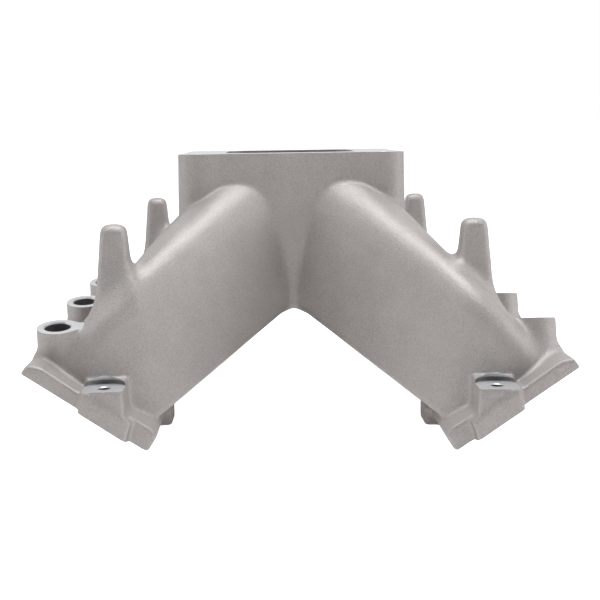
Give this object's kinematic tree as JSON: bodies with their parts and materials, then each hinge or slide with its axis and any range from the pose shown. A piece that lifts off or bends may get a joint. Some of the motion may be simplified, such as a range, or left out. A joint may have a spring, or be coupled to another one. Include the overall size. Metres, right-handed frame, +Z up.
{
  "type": "intake manifold",
  "caption": "Cast aluminium intake manifold for a V engine: square throttle flange, plenum, runners, sloping port flanges, injector seats and rail posts over an open valley.",
  "frame": {"origin": "bottom centre, level with the lowest edges of the two port flanges", "axes": "+Z up out of the throttle flange, +Y along the crankshaft towards the engine's rear, +X across the engine to the right bank"},
  "size_m": [0.3436, 0.44, 0.1815],
  "materials": {
    "cast_aluminium": "as cast and blasted, satin with a fine grain",
    "machined_aluminium": "milled flat, brighter and smoother than the casting"
  },
  "bodies": {
    "root": {"bolt_boss_left_1": "cast_aluminium", "bolt_boss_left_2": "cast_aluminium", "bolt_boss_left_3": "cast_aluminium", "bolt_boss_left_4": "cast_aluminium", "bolt_boss_left_5": "cast_aluminium", "bolt_boss_right_1": "cast_aluminium", "bolt_boss_right_2": "cast_aluminium", "bolt_boss_right_3": "cast_aluminium", "bolt_boss_right_4": "cast_aluminium", "bolt_boss_right_5": "cast_aluminium", "injector_boss_left_1": "cast_aluminium", "injector_boss_left_2": "cast_aluminium", "injector_boss_left_3": "cast_aluminium", "injector_boss_left_4": "cast_aluminium", "injector_boss_right_1": "cast_aluminium", "injector_boss_right_2": "cast_aluminium", "injector_boss_right_3": "cast_aluminium", "injector_boss_right_4": "cast_aluminium", "plenum_chamber": "cast_aluminium", "port_flange_left": "machined_aluminium", "port_flange_right": "machined_aluminium", "rail_post_left_front": "cast_aluminium", "rail_post_left_rear": "cast_aluminium", "rail_post_right_front": "cast_aluminium", "rail_post_right_rear": "cast_aluminium", "runner_left_1": "cast_aluminium", "runner_left_2": "cast_aluminium", "runner_left_3": "cast_aluminium", "runner_left_4": "cast_aluminium", "runner_right_1": "cast_aluminium", "runner_right_2": "cast_aluminium", "runner_right_3": "cast_aluminium", "runner_right_4": "cast_aluminium", "throttle_flange": "machined_aluminium"}
  },
  "joints": []
}
